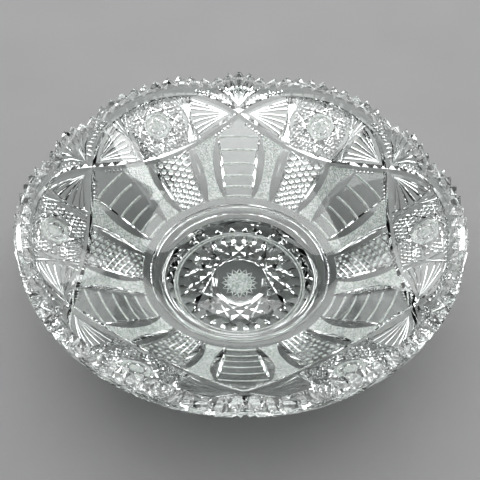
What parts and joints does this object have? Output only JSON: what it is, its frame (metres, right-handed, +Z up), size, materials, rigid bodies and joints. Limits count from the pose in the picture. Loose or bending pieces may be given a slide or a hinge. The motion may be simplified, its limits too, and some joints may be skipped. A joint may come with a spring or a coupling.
{
  "type": "punch bowl",
  "caption": "Shallow round cut-crystal serving bowl with a scalloped, sawtooth-cut rim and a short solid foot, clear glass with deep brilliant-style cuts",
  "frame": {"origin": "centre of the foot's resting face", "axes": "+Z up along the bowl's axis, +Y through the middle of one of the six ladder panels, +X to the right of it"},
  "size_m": [0.304, 0.3038, 0.1007],
  "materials": {
    "bowl_glass": "polished clear lead crystal, deep cuts polished, fine crosshatch left slightly frosted",
    "foot_glass": "polished clear lead crystal with a star cut in the underside"
  },
  "bodies": {
    "root": {"bowl": "bowl_glass", "foot": "foot_glass"}
  },
  "joints": []
}
